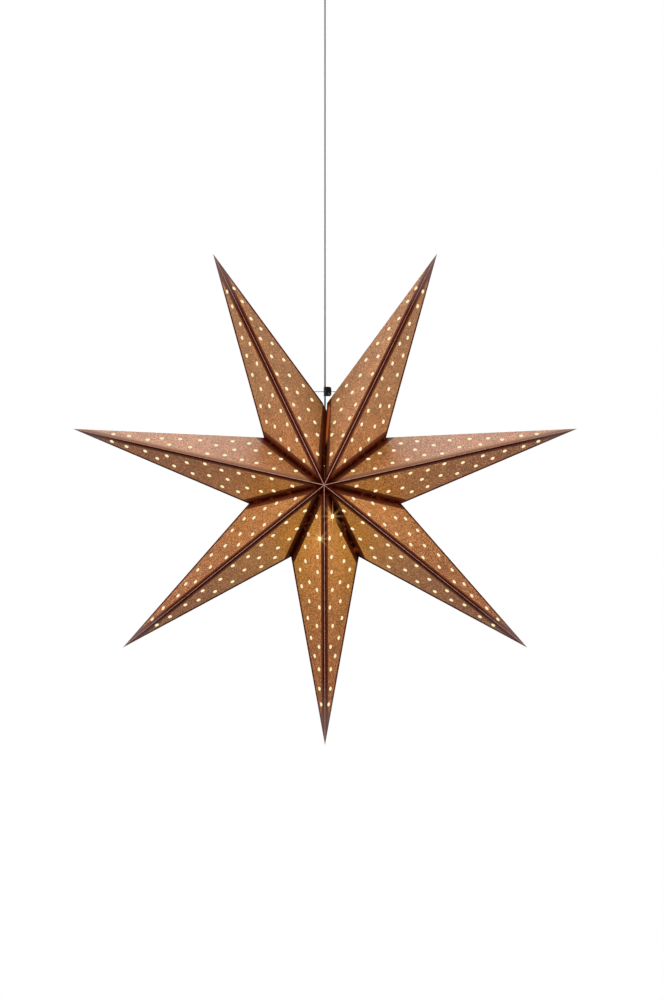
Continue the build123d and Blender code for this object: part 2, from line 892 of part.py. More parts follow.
# Filaments: upright rods between the two spiders
with BuildPart() as filaments:
    with BuildSketch(Plane.XY.offset(lower_spider)):
        with PolarLocations(filament_circle, filament_count):
            Circle(filament_radius)
    extrude(amount=filament_length)
finish(filaments, "filaments")
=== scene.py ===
"""Star pendant light, dressed for its studio picture.

Metres, +Z up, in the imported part's own frame. The origin is where the ceiling fitting meets the
ceiling, the star's face looks along -Y, and its centre hangs straight below the origin.
"""

import logging
from dataclasses import dataclass
from enum import Enum
from functools import cache, partial, reduce
from math import asin, cos, hypot, pi, radians, sin

import bmesh
import bpy
from bmesh.types import BMEdge, BMesh, BMFace, BMVert
from bpy.types import NodeSocket as Socket, Object, bpy_prop_collection as Sockets
from mathutils import Euler, Matrix, Vector


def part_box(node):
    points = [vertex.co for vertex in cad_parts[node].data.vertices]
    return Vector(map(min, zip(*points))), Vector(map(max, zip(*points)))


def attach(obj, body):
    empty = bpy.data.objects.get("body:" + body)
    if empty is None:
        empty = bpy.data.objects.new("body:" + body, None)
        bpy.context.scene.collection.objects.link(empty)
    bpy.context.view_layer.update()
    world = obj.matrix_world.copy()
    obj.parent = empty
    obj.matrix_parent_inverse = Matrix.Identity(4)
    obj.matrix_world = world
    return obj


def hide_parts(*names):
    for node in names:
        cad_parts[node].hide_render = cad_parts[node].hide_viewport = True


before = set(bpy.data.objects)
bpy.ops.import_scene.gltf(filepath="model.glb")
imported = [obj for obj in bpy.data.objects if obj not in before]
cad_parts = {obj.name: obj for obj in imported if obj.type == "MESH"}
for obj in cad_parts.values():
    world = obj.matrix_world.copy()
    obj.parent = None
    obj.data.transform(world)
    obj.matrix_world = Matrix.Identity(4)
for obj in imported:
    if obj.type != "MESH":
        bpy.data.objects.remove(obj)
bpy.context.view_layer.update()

log = logging.getLogger("star_pendant")

Span = tuple[float, float]
Colour = tuple[float, float, float]
Stops = tuple[tuple[float, Colour], ...]
Element = BMVert | BMEdge | BMFace
Feed = float | Colour | Vector | Socket
Feeds = dict[str | int, Feed]

STAR_Z = -0.662
LAMP_DROP = 0.049
STAR_CENTRE = Vector((0.0, 0.0, STAR_Z))
LAMP_CENTRE = Vector((0.0, 0.0, STAR_Z - LAMP_DROP))

# Edges: what counts as one spot, as flat, as sharp to the hand and as crisp to the eye
MERGE_GAP = 1e-6
FLAT_TURN = radians(1.0)
SHARP_TURN = radians(40.0)
CRISP_TURN = 0.6

# The bands attribute's alpha: where the painted glow of lamp light leaking from the seam is
# centred, how fast it counts away from there, and what it is where no painted light leaks
LEAK = 2.0
LEAK_SCALE = 100.0
NO_LEAK = 1.0
# The bands attribute of a flap, which is bare all over
FLAP_GAPS = (0.004, 0.006, 0.004, NO_LEAK)


class Body(Enum):
    """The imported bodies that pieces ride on."""

    CEILING = "ceiling"
    CORD = "cord"
    PENDANT = "pendant"


class Face(Enum):
    """The two faces of the star, by the sign of Y."""

    FRONT = -1
    BACK = 1


class Edge(Enum):
    """The two edges of a point, clockwise and anticlockwise from its tip as seen from the front."""

    CLOCKWISE = -1
    ANTICLOCKWISE = 1


class Side(Enum):
    """A card's outer side, by its material index. The inner side has the next one."""

    PRINTED = 0
    PLAIN = 2


# Node wiring


class Wiring:
    """A node tree being wired, with short calls for the nodes that the finishes use."""

    def __init__(self, tree: bpy.types.NodeTree) -> None:
        """Keep the tree that nodes are added to."""
        self.tree = tree

    def feed(self, inputs: Sockets, values: Feeds) -> None:
        """Link inputs to output sockets, or set their own values.

        Args:
            inputs: A node's inputs.
            values: Output sockets, numbers or colours for them, by name or place.
        """
        for key, value in values.items():
            if isinstance(value, Socket):
                self.tree.links.new(value, inputs[key])
            elif isinstance(value, tuple) and inputs[key].type == "RGBA":
                inputs[key].default_value = (*value, 1.0)
            else:
                inputs[key].default_value = value

    def node(self, kind: str, inputs: Feeds | None = None, **settings: object) -> bpy.types.Node:
        """Add a node.

        Args:
            kind: The node's type name.
            inputs: Values or sockets for its inputs, by name or place.
            settings: The node's own properties.

        Returns:
            The new node.
        """
        made = self.tree.nodes.new(kind)
        for key, value in settings.items():
            setattr(made, key, value)
        self.feed(made.inputs, inputs or {})
        return made

    def math(self, operation: str, *values: Feed) -> Socket:
        """Add a Math node and return its result."""
        return self.node("ShaderNodeMath", dict(enumerate(values)), operation=operation).outputs[0]

    def product(self, *values: Feed) -> Socket:
        """Multiply values with each other and return the result."""
        return reduce(partial(self.math, "MULTIPLY"), values)

    def vector(self, operation: str, inputs: Feeds, output: str = "Vector") -> Socket:
        """Add a Vector Math node and return one of its results."""
        return self.node("ShaderNodeVectorMath", inputs, operation=operation).outputs[output]

    def spread(
        self, value: Feed, low: Feed = 0.0, high: Feed = 1.0, to: Span = (0.0, 1.0)
    ) -> Socket:
        """Map a value's range to another one, eased and held at both ends.

        Args:
            value: What is mapped.
            low: The value that gives the first of to.
            high: The value that gives the second of to.
            to: The range that comes out.

        Returns:
            The mapped value.
        """
        inputs = dict(enumerate((value, low, high, *to)))
        return self.node("ShaderNodeMapRange", inputs, interpolation_type="SMOOTHSTEP").outputs[0]

    def mix(self, share: Feed, first: Feed, second: Feed) -> Socket:
        """Mix two colours and return the result."""
        inputs = {0: share, 6: first, 7: second}
        return self.node("ShaderNodeMix", inputs, data_type="RGBA").outputs[2]

    def ramp(self, value: Feed, stops: Stops) -> Socket:
        """Turn a value into a colour.

        Args:
            value: Where on the ramp to read.
            stops: Places on the ramp, each with its colour.

        Returns:
            The colour.
        """
        made = self.node("ShaderNodeValToRGB", {0: value})
        marks = made.color_ramp.elements
        while len(marks) < len(stops):
            marks.new(1.0)
        for mark, (place, colour) in zip(marks, stops):
            mark.position = place
            mark.color = (*colour, 1.0)
        return made.outputs["Color"]

    def noise(self, where: Feed, scale: Feed, detail: float) -> Socket:
        """Add a noise and return its height."""
        inputs = {"Vector": where, "Scale": scale, "Detail": detail}
        return self.node("ShaderNodeTexNoise", inputs).outputs[0]

    def bump(self, height: Feed, strength: float, distance: float) -> Socket:
        """Turn a height, which reaches that far in metres, into a normal."""
        inputs = {"Height": height, "Strength": strength, "Distance": distance}
        return self.node("ShaderNodeBump", inputs).outputs[0]

    def place(self, kind: str = "Object") -> Socket:
        """Return the piece's own coordinates, or another kind of them."""
        return self.node("ShaderNodeTexCoord").outputs[kind]

    def rise(self, vector: Socket) -> Socket:
        """Return a vector's upright part."""
        return self.node("ShaderNodeSeparateXYZ", {0: vector}).outputs["Z"]

    def height(self, low: float, high: float, to: Span = (0.0, 1.0)) -> Socket:
        """Spread the surface's height, with both ends counted from the star's centre."""
        return self.spread(self.rise(self.place()), STAR_Z + low, STAR_Z + high, to)

    def gap(self, spot: Vector) -> Socket:
        """Return how far the surface is from a spot."""
        return self.vector("DISTANCE", {0: self.place(), 1: spot}, "Value")

    def effect(self, name: str, **inputs: Feed) -> Sockets:
        """Place a shared effect in this tree and return its outputs."""
        group = bpy.data.node_groups[name]
        return self.node("ShaderNodeGroup", inputs, node_tree=group).outputs

    def grain(self, size: float) -> Socket:
        """Return the shared grain at a size."""
        return self.effect("surface_grain", Size=size)["Value"]

    def glow(self, reach: float) -> Socket:
        """Return the shared glow round the lamp, with a reach."""
        return self.effect("lamp_glow", Reach=reach)["Amount"]


class Effect(Wiring):
    """A shader node group being wired, with named inputs and outputs."""

    def __init__(self, name: str, inputs: dict[str, float], outputs: dict[str, str]) -> None:
        """Start the group.

        Args:
            name: The group's name.
            inputs: Its number inputs, each with the value it has when nothing feeds it.
            outputs: Its outputs, each with its kind: Float or Vector.
        """
        tree = bpy.data.node_groups.new(name, "ShaderNodeTree")
        sides = tree.interface
        for label, value in inputs.items():
            made = sides.new_socket(label, in_out="INPUT", socket_type="NodeSocketFloat")
            made.default_value = value
        for label, kind in outputs.items():
            sides.new_socket(label, in_out="OUTPUT", socket_type=f"NodeSocket{kind}")
        super().__init__(tree)
        self.ins = self.node("NodeGroupInput").outputs
        self.outs = self.node("NodeGroupOutput").inputs


def make_bands() -> None:
    """Build the masks for a panel's bare bands, by the gaps to the lines that they follow."""
    widths = {"Ridge": 0.0068, "Valley": 0.0080, "Rim": 0.0028, "Fray": 0.0006, "Fade": 0.0006}
    masks = ("Field", "Crease", "Lip", "Tip", "Depth", "Joint", "Slit", "Leak")
    bands = Effect("panel_bands", widths, dict.fromkeys(masks, "Float"))
    measured = bands.node("ShaderNodeAttribute", attribute_name="bands").outputs
    gaps = bands.node("ShaderNodeSeparateColor", {0: measured["Color"]}).outputs
    ridge, valley, rim = gaps["Red"], gaps["Green"], gaps["Blue"]
    rough = bands.noise(bands.place(), scale=900.0, detail=2.0)
    fray = bands.product(bands.math("SUBTRACT", rough, 0.5), bands.ins["Fray"])
    inside = []
    for gap, band in ((ridge, "Ridge"), (valley, "Valley"), (rim, "Rim")):
        start = bands.math("ADD", bands.ins[band], fray)
        inside.append(bands.spread(gap, start, bands.math("ADD", start, bands.ins["Fade"])))
    # A painted highlight: the ridge band, away from the valley, is lighter on panels that face up,
    # where light from above falls
    painted_top_sheen = (
        bands.spread(ridge, low=0.0082, high=0.0070),
        bands.spread(valley, low=0.006, high=0.010),
        bands.spread(bands.rise(bands.place("Normal")), low=0.6, high=0.8),
    )
    # Depth is 0 where painted shade darkens the card, at the valley's bottom, beside the ridge and
    # along the outer fold, and 1 away from them
    depth = (
        bands.spread(valley, low=0.0, high=0.0085),
        bands.spread(ridge, low=0.0016, high=0.0068),
        bands.spread(rim, low=0.0008, high=0.0032),
    )
    # The strip beside the seam's opening: painted black as shadow below its top, and glowing with
    # painted lamp light leaking out in a high band and, half as strong, low down
    off = bands.math("ABSOLUTE", bands.math("SUBTRACT", measured["Alpha"], LEAK))
    painted_slit = bands.spread(off, low=0.24, high=0.12)
    top = bands.height(low=0.098, high=0.092)
    above = bands.product(bands.height(low=0.046, high=0.058), top)
    below = bands.height(low=0.020, high=0.012, to=(0.0, 0.5))
    bands.feed(bands.outs, {
        "Field": bands.product(*inside),
        "Crease": bands.spread(ridge, low=0.0010, high=0.0005),
        "Lip": bands.product(*painted_top_sheen),
        "Tip": bands.spread(bands.gap(STAR_CENTRE), low=0.225, high=0.295),
        "Depth": bands.product(*depth),
        "Joint": bands.spread(valley, low=0.0055, high=0.002),
        "Slit": bands.product(painted_slit, top),
        "Leak": bands.product(painted_slit, bands.math("MAXIMUM", above, below)),
    })


def make_flakes() -> None:
    """Build the glitter, in which each flake has a tone and a lean."""
    inputs = {"Amount": 1.0, "Tilt": 0.55, "Clump": 0.35, "Flake": 0.45, "Drift": 0.2}
    flakes = Effect("glitter_flakes", inputs, {"Value": "Float", "Normal": "Vector"})
    where = flakes.place()
    drift = flakes.noise(where, scale=60.0, detail=3.0)
    value = 0.0
    for share, scale in (("Clump", 950.0), ("Flake", 1600.0)):
        cell = flakes.node("ShaderNodeTexVoronoi", {"Vector": where, "Scale": scale})
        colour = cell.outputs["Color"]
        tone = flakes.node("ShaderNodeSeparateColor", {0: colour}).outputs["Red"]
        value = flakes.math("MULTIPLY_ADD", tone, flakes.ins[share], value)
    value = flakes.math("MULTIPLY_ADD", drift, flakes.ins["Drift"], value)
    lean = flakes.vector("SUBTRACT", {0: colour, 1: (0.5, 0.5, 0.5)})
    size = flakes.product(flakes.ins["Amount"], flakes.ins["Tilt"])
    lean = flakes.vector("SCALE", {0: lean, "Scale": size})
    flat = flakes.node("ShaderNodeNewGeometry").outputs["Normal"]
    leant = flakes.vector("NORMALIZE", {0: flakes.vector("ADD", {0: flat, 1: lean})})
    flakes.feed(flakes.outs, {"Value": value, "Normal": leant})


def make_effects() -> None:
    """Build the effects that the finishes share."""
    grain = Effect("surface_grain", {"Size": 0.002}, {"Value": "Float"})
    scale = grain.math("DIVIDE", 1.0, grain.ins["Size"])
    noise = grain.noise(grain.place(), scale, detail=3.0)
    grain.feed(grain.outs, {"Value": grain.spread(noise, low=0.3, high=0.7)})
    glow = Effect("lamp_glow", {"Reach": 0.1}, {"Amount": "Float"})
    share = glow.math("DIVIDE", glow.gap(LAMP_CENTRE), glow.ins["Reach"])
    glow.feed(glow.outs, {"Amount": glow.math("EXPONENT", glow.product(share, -1.0))})
    make_bands()
    make_flakes()


# Finishes


def dimmed(colour: Colour, share: float) -> Colour:
    """Return a colour with a share of its light."""
    return tuple(share * part for part in colour)


@dataclass(frozen=True)
class Finish:
    """A surface finish, made into a material the first time that a piece takes it."""

    name: str

    @cache
    def material(self) -> bpy.types.Material:
        """Make this finish's material.

        Returns:
            The material, the same one for every piece with this finish.
        """
        made = bpy.data.materials.new(self.name)
        made.use_nodes = True
        wiring = Wiring(made.node_tree)
        wiring.feed(made.node_tree.nodes["Principled BSDF"].inputs, self.inputs(wiring))
        return made

    def inputs(self, wiring: Wiring) -> Feeds:
        """Work out what the shader's inputs take.

        Args:
            wiring: The material's nodes.

        Returns:
            Values or sockets for the inputs, by name.
        """
        raise NotImplementedError


@dataclass(frozen=True)
class GlitterCard(Finish):
    """Glossy dark card with a field of copper glitter on each panel and creases that wear pale,
    with painted shade, painted sheen and highlights, and the lamp's light painted in as a glow.
    """

    painted_fold_shade: Colour = (0.028, 0.0014, 0.0003)
    bare: Colour = (0.095, 0.020, 0.005)
    bare_light: Colour = (0.138, 0.034, 0.010)
    painted_slit: Colour = (0.002, 0.001, 0.001)
    painted_top_sheen: Colour = (0.66, 0.34, 0.17)
    painted_top_sheen_share: float = 0.24
    painted_tip_sheen: Colour = (0.17, 0.105, 0.095)
    painted_tip_sheen_share: float = 0.55
    crease: Colour = (0.56, 0.31, 0.24)
    crease_wear: Span = (0.65, 1.0)
    crease_highlight_reach: float = 0.28
    painted_upper_haze: Colour = (0.58, 0.46, 0.25)
    painted_upper_haze_share: float = 0.12
    painted_upper_haze_heights: Span = (0.03, 0.12)
    flakes: Stops = (
        (0.22, (0.050, 0.011, 0.0022)),
        (0.45, (0.190, 0.053, 0.0130)),
        (0.62, (0.340, 0.110, 0.031)),
        (0.85, (0.64, 0.27, 0.100)),
    )
    glow: Colour = (0.57, 0.255, 0.028)
    glow_reach: float = 0.07
    sparkle: Span = (0.62, 1.38)
    glint: Colour = (0.20, 0.035, 0.004)
    painted_leak: Colour = (0.34, 0.07, 0.01)
    roughness: Span = (0.30, 0.52)
    metallic: float = 0.2
    specular: float = 0.08
    card_coat: float = 0.16
    glitter_coat: float = 0.75
    coat_roughness: float = 0.42

    def inputs(self, wiring: Wiring) -> Feeds:
        """Lay the glitter field inside the bare bands, with painted shade and sheen on the card and
        the lamp's light painted in as a glow.

        Args:
            wiring: The material's nodes.

        Returns:
            The shader's inputs.
        """
        bands = wiring.effect("panel_bands")
        field, depth = bands["Field"], bands["Depth"]
        flake = wiring.effect("glitter_flakes", Amount=field)
        grain = wiring.grain(0.004)
        # Painted shade darkens the card in the valleys, beside the ridges and along the outer folds
        card = wiring.mix(depth, self.painted_fold_shade, wiring.mix(grain, self.bare, self.bare_light))
        # Painted shadow along the strip beside the seam's opening
        card = wiring.mix(bands["Slit"], card, self.painted_slit)
        # Painted highlight on the ridge bands of panels that face up
        card = wiring.mix(wiring.product(bands["Lip"], self.painted_top_sheen_share), card, self.painted_top_sheen)
        # Painted sheen: the bare card turns grey-pink towards the tips
        card = wiring.mix(wiring.product(bands["Tip"], self.painted_tip_sheen_share), card, self.painted_tip_sheen)
        # The crease line wears pale unevenly, and is painted brighter near the lamp as a highlight
        worn_and_highlit = wiring.spread(grain, high=0.4, to=self.crease_wear)
        worn_and_highlit = wiring.product(bands["Crease"], worn_and_highlit, wiring.glow(self.crease_highlight_reach))
        card = wiring.mix(worn_and_highlit, card, self.crease)
        # Painted sheen: the glitter turns paler and greyer higher up the star, where more light
        # falls
        painted_upper_haze_mask = wiring.height(*self.painted_upper_haze_heights, to=(0.0, self.painted_upper_haze_share))
        glitter = wiring.mix(painted_upper_haze_mask, wiring.ramp(flake["Value"], self.flakes), self.painted_upper_haze)
        # Painted lamp light: the glitter glows warm near the lamp, as light through the card, and
        # spots at the valley joints glint orange
        near = wiring.glow(self.glow_reach)
        sparkle = wiring.spread(flake["Value"], low=0.25, high=0.75, to=self.sparkle)
        light = wiring.mix(wiring.product(near, field, sparkle), (0.0, 0.0, 0.0), self.glow)
        patch = wiring.spread(wiring.grain(0.007), low=0.7)
        light = wiring.mix(wiring.product(patch, bands["Joint"], near), light, self.glint)
        sheen = wiring.spread(depth, to=(0.0, self.card_coat))
        return {
            "Base Color": wiring.mix(field, card, glitter),
            "Roughness": wiring.spread(field, to=self.roughness),
            "Metallic": wiring.product(field, self.metallic),
            "Specular IOR Level": wiring.spread(depth, to=(0.0, self.specular)),
            "Coat Weight": wiring.math("MAXIMUM", sheen, wiring.product(field, self.glitter_coat)),
            "Coat Roughness": self.coat_roughness,
            "Normal": flake["Normal"],
            # Painted glow of lamp light leaking from the seam, laid over the other painted glow
            "Emission Color": wiring.mix(bands["Leak"], light, self.painted_leak),
            "Emission Strength": 1.0,
        }


@dataclass(frozen=True)
class Patchy(Finish):
    """A finish with small patches that have another tone and another roughness."""

    colour: Colour
    roughness: Span = (0.34, 0.48)
    patch_tone: float = 0.86
    patch_size: float = 0.02

    def inputs(self, wiring: Wiring) -> Feeds:
        """Vary the tone and the roughness, which goes from the patches to the rest.

        Args:
            wiring: The material's nodes.

        Returns:
            The shader's inputs.
        """
        grain = wiring.grain(self.patch_size)
        return {
            "Base Color": wiring.mix(grain, dimmed(self.colour, self.patch_tone), self.colour),
            "Roughness": wiring.spread(grain, to=self.roughness),
        }


@dataclass(frozen=True)
class LitCard(Patchy):
    """The card's lit side, brightest near the lamp."""

    colour: Colour = (0.12, 0.10, 0.06)
    roughness: Span = (0.7, 0.85)
    patch_tone: float = 0.9
    patch_size: float = 0.003
    near: Colour = (1.0, 0.88, 0.58)
    far: Colour = (1.0, 0.86, 0.53)
    reach: float = 0.30
    power: float = 0.9

    def inputs(self, wiring: Wiring) -> Feeds:
        """Let the card shine by its distance from the lamp."""
        shine = wiring.mix(wiring.glow(self.reach), self.far, self.near)
        return super().inputs(wiring) | {"Emission Color": shine, "Emission Strength": self.power}


@dataclass(frozen=True)
class Paint(Patchy):
    """Smooth sprayed paint or moulded plastic, with a fine texture and a handled sheen."""

    texture: float = 0.0008
    depth: float = 0.00005
    strength: float = 0.35
    specular: float = 0.5

    def inputs(self, wiring: Wiring) -> Feeds:
        """Add the texture to the patches."""
        normal = wiring.bump(wiring.grain(self.texture), self.strength, self.depth)
        return super().inputs(wiring) | {"Specular IOR Level": self.specular, "Normal": normal}


@dataclass(frozen=True)
class Metal(Patchy):
    """Plain or plated metal with fine drawn lines and dull patches."""

    patch_tone: float = 0.88
    patch_size: float = 0.006
    stretch: Colour = (150.0, 150.0, 3000.0)
    depth: float = 0.00003
    strength: float = 0.15

    def inputs(self, wiring: Wiring) -> Feeds:
        """Draw fine lines round the piece and dull it in patches.

        Args:
            wiring: The material's nodes.

        Returns:
            The shader's inputs.
        """
        drawn = wiring.node("ShaderNodeMapping", {"Vector": wiring.place(), "Scale": self.stretch})
        lines = wiring.noise(drawn.outputs[0], scale=1.0, detail=2.0)
        normal = wiring.bump(lines, self.strength, self.depth)
        return super().inputs(wiring) | {"Metallic": 1.0, "Normal": normal}


@dataclass(frozen=True)
class Glass(Patchy):
    """Clear or dark lamp glass with a breath of dirt, and brighter patches that are clean."""

    roughness: Span = (0.0, 0.02)
    patch_tone: float = 1.0638
    patch_size: float = 0.008
    clear: float = 1.0
    refraction: float = 1.45

    def inputs(self, wiring: Wiring) -> Feeds:
        """Let light through the glass."""
        return super().inputs(wiring) | {"IOR": self.refraction, "Transmission Weight": self.clear}


@dataclass(frozen=True)
class Phosphor(Finish):
    """The filaments' lit coating, a little uneven along their length."""

    bright: Colour = (1.0, 0.80, 0.46)
    dim: Colour = (1.0, 0.62, 0.26)
    roughness: float = 0.6
    power: float = 150.0

    def inputs(self, wiring: Wiring) -> Feeds:
        """Light the coating, brighter in beads.

        Args:
            wiring: The material's nodes.

        Returns:
            The shader's inputs.
        """
        beads = wiring.mix(wiring.grain(0.0012), self.dim, self.bright)
        lit = {"Emission Color": beads, "Emission Strength": self.power}
        return {"Base Color": beads, "Roughness": self.roughness} | lit


STAR_CARD = GlitterCard("glitter_card")
# The card's inner side and its glue flaps glow with painted lamp light: cream inside, orange on the
# flaps near the lamp
CARD_INSIDE = LitCard("card_inside")
FLAP_CARD = LitCard(
    "flap_card", (0.09, 0.03, 0.018), near=(0.95, 0.30, 0.05), far=(0.03, 0.006, 0.002),
    reach=0.10, power=0.55,
)
CUP_PAINT = Paint(
    "satin_white_paint", (0.50, 0.50, 0.49), (0.30, 0.44), patch_tone=0.97, depth=0.00001
)
BLACK_PLASTIC = Paint(
    "moulded_black", (0.010, 0.010, 0.011), (0.36, 0.50), texture=0.0005, specular=0.3
)
NYLON = Paint("natural_nylon", (0.48, 0.465, 0.42), (0.44, 0.58))
PORCELAIN = Paint("unglazed_porcelain", (0.78, 0.75, 0.70), (0.54, 0.68), texture=0.0006)
CORD_SHEATH = Paint("grey_cord_sheath", (0.15, 0.165, 0.18), texture=0.0006, depth=0.00001)
CORE_SHEATH = Paint("brown_core_sheath", (0.12, 0.05, 0.025), (0.29, 0.43))
FLOOR_PAINT = Paint(
    "pale_floor", (0.50, 0.50, 0.49), (0.64, 0.78), patch_tone=0.98, texture=0.004
)
STEEL = Metal("zinc_plated_steel", (0.66, 0.66, 0.67), (0.39, 0.30))
BRASS = Metal("pressed_brass", (0.72, 0.50, 0.20), (0.33, 0.24))
LAMP_METAL = Metal("rolled_aluminium", (0.80, 0.80, 0.81), (0.35, 0.26))
LAMP_BLACK = Glass("black_glass", (0.01128, 0.01128, 0.01316), clear=0.0)
LAMP_GLASS = Glass("clear_glass", (0.9306, 0.9212, 0.893))
FILAMENT = Phosphor("lit_phosphor")


# Shared shapes


def dress(finish: Finish, *nodes: str) -> None:
    """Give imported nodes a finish.

    Args:
        finish: What they are made of.
        nodes: Their names.
    """
    for node in nodes:
        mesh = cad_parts[node].data
        mesh.materials.clear()
        mesh.materials.append(finish.material())
        log.info("%s takes %s", node, finish.name)


def link(name: str, data: bpy.types.ID | BMesh, *finishes: Finish) -> Object:
    """Make an object and link it to the scene.

    Args:
        name: Its name.
        data: Its curve, camera or light, or a finished bmesh, which is freed.
        finishes: Its finishes, by material index.

    Returns:
        The new object.
    """
    if isinstance(data, BMesh):
        shape, data = data, bpy.data.meshes.new(name)
        shape.to_mesh(data)
        shape.free()
    for finish in finishes:
        data.materials.append(finish.material())
    made = bpy.data.objects.new(name, data)
    bpy.context.scene.collection.objects.link(made)
    return made


def stand_in(piece: Object, node: str, body: Body) -> None:
    """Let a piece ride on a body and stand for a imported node.

    Args:
        piece: The piece.
        node: The node's name.
        body: The body that carries it.
    """
    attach(piece, body.value)
    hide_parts(node)
    log.info("%s rides on %s", piece.name, body.value)


def pick(items: list[Element], kind: type[Element]) -> list[Element]:
    """Return the verts, the edges or the faces of a mixed list."""
    return [item for item in items if isinstance(item, kind)]


def sharp_edges(bm: BMesh) -> list[BMEdge]:
    """Return the edges of a mesh that are sharp to the hand."""
    return [edge for edge in bm.edges if edge.calc_face_angle(0.0) > SHARP_TURN]


def rounded(bm: BMesh, edges: list[BMEdge], radius: float, segments: int) -> None:
    """Round some edges of a mesh.

    Args:
        bm: The mesh.
        edges: The edges.
        radius: How far the rounding reaches to each side.
        segments: The faces across it.
    """
    bmesh.ops.bevel(
        bm, geom=edges, offset=radius, offset_type="OFFSET", affect="EDGES", segments=segments,
        profile=0.5, material=-1, clamp_overlap=True,
    )


def shade(bm: BMesh) -> None:
    """Shade a mesh smooth, apart from its crisp edges.

    Args:
        bm: The mesh.
    """
    for face in bm.faces:
        face.smooth = True
    for edge in bm.edges:
        edge.smooth = edge.calc_face_angle(0.0) < CRISP_TURN


def soften(node: str, body: Body, finish: Finish, radius: float) -> None:
    """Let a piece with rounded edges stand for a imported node.

    Args:
        node: The node's name.
        body: The body that carries it.
        finish: What it is made of.
        radius: How far the rounding reaches to each side of an edge.
    """
    bm = bmesh.new()
    bm.from_mesh(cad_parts[node].data)
    bmesh.ops.remove_doubles(bm, verts=bm.verts, dist=MERGE_GAP)
    bmesh.ops.dissolve_limit(bm, angle_limit=FLAT_TURN, verts=bm.verts, edges=bm.edges)
    rounded(bm, sharp_edges(bm), radius, segments=2)
    shade(bm)
    stand_in(link(f"{node}_softened", bm, finish), node, body)


@dataclass(frozen=True)
class Screw:
    """A slotted screw with a rounded head, made from its seat along its own axis."""

    head_radius: float
    head_height: float
    shank_radius: float
    shank_length: float
    point_share: float = 0.7
    disc_share: float = 0.55
    slot_floor_share: float = 0.5
    slot_share: float = 0.16
    rounding_share: float = 0.3
    sides: int = 32

    def rod(self, bm: BMesh, radii: Span, span: Span) -> list[Element]:
        """Add a closed round rod along Z.

        Args:
            bm: The mesh.
            radii: Its radius at its lower and its upper end.
            span: Where it starts and ends.

        Returns:
            All that was added.
        """
        middle = Matrix.Translation((0.0, 0.0, sum(span) / 2))
        verts = bmesh.ops.create_cone(
            bm, cap_ends=True, segments=self.sides, radius1=radii[0], radius2=radii[1],
            depth=span[1] - span[0], matrix=middle,
        )["verts"]
        edges = {edge for vert in verts for edge in vert.link_edges}
        faces = {face for vert in verts for face in vert.link_faces}
        return [*verts, *edges, *faces]

    def half_head(self, bm: BMesh, side: int) -> None:
        """Add the head's upper half on one side of the slot.

        Args:
            bm: The mesh.
            side: The sign of X on that side.
        """
        radius, height = self.head_radius, self.head_height
        cut = bmesh.ops.bisect_plane(
            bm,
            geom=self.rod(bm, (radius, radius), (self.slot_floor_share * height, height)),
            plane_co=(side * self.slot_share * radius, 0.0, 0.0),
            plane_no=(side, 0.0, 0.0),
            clear_inner=True,
        )["geom_cut"]
        wall = bmesh.ops.contextual_create(bm, geom=pick(cut, BMEdge))["faces"]
        flat = {edge for face in wall for edge in face.edges}
        top = [edge for edge in bm.edges if all(vert.co.z == height for vert in edge.verts)]
        rim = [edge for edge in top if side * edge.verts[0].co.x > 0 and edge not in flat]
        rounded(bm, rim, self.rounding_share * height, segments=3)

    def add(self, bm: BMesh, seat: Vector, out: Vector) -> None:
        """Add the screw to a mesh.

        Args:
            bm: The mesh.
            seat: The middle of the surface that the head sits on.
            out: The way that the head looks.
        """
        own = bmesh.new()
        shank = (self.point_share * self.shank_radius, self.shank_radius)
        self.rod(own, shank, (-self.shank_length, 0.0))
        self.rod(own, (self.head_radius,) * 2, (0.0, self.disc_share * self.head_height))
        for side in (-1, 1):
            self.half_head(own, side)
        bmesh.ops.recalc_face_normals(own, faces=own.faces)
        turn = out.to_track_quat("Z", "Y").to_matrix().to_4x4()
        bmesh.ops.transform(own, matrix=Matrix.Translation(seat) @ turn, verts=own.verts)
        shade(own)
        held = bpy.data.meshes.new("screw")
        own.to_mesh(held)
        own.free()
        bm.from_mesh(held)
        bpy.data.meshes.remove(held)


# The star


@dataclass(frozen=True)
class StarSizes:
    """The folded star's sizes, in its own plane from the hub axis, which runs along Y."""

    points: int = 7
    tip_radius: float = 0.308
    notch_radius: float = 0.093
    half_depth: float = 0.080
    card: float = 0.0006
    seam_notch_radius: float = 0.099
    seam_opening: float = 0.0048
    flap_width: float = 0.008
    flap_hub_gap: float = 0.016
    flap_notch_gap: float = 0.008
    closing_width: float = 0.012
    closing_hub_gap: float = 0.030
    closing_notch_gaps: Span = (0.014, 0.014)
    lap_width: float = 0.0062
    lap_notch_gaps: Span = (0.0008, 0.0088)
    hole_radius: float = 0.0025
    hole_sides: int = 16
    wire_hole_radius: float = 0.0013
    back_row_shift: float = 0.009
    fold_width: float = 0.0011
    seam_spared: tuple[Span, Span] = ((-0.0045, 0.0080), (0.0014, 0.0014))
    # How far from the seam's edge the painted glow of leaking lamp light is centred, at the hub's
    # end and at the notch's end
    painted_leak: Span = (-0.0024, 0.0042)
    # How far the outer fold's bare band and painted shade are pushed off where the fold is painted
    # lit, and how far up the fold must face to be painted lit
    lit_rim_skip: float = 0.0032
    lit_rim_rise: float = 0.9

    @property
    def pitch(self) -> float:
        """The angle from one point to the next."""
        return 2 * pi / self.points

    @property
    def seam_angle(self) -> float:
        """The angle that each point beside the seam gives up."""
        return asin(self.seam_opening / 2 / self.seam_notch_radius)

    @property
    def lap_hub_width(self) -> float:
        """The lap's width at its end near the hub, where the seam is narrower."""
        length = hypot(self.seam_notch_radius, self.half_depth)
        return self.lap_width * self.closing_hub_gap / (length - self.lap_notch_gaps[1])


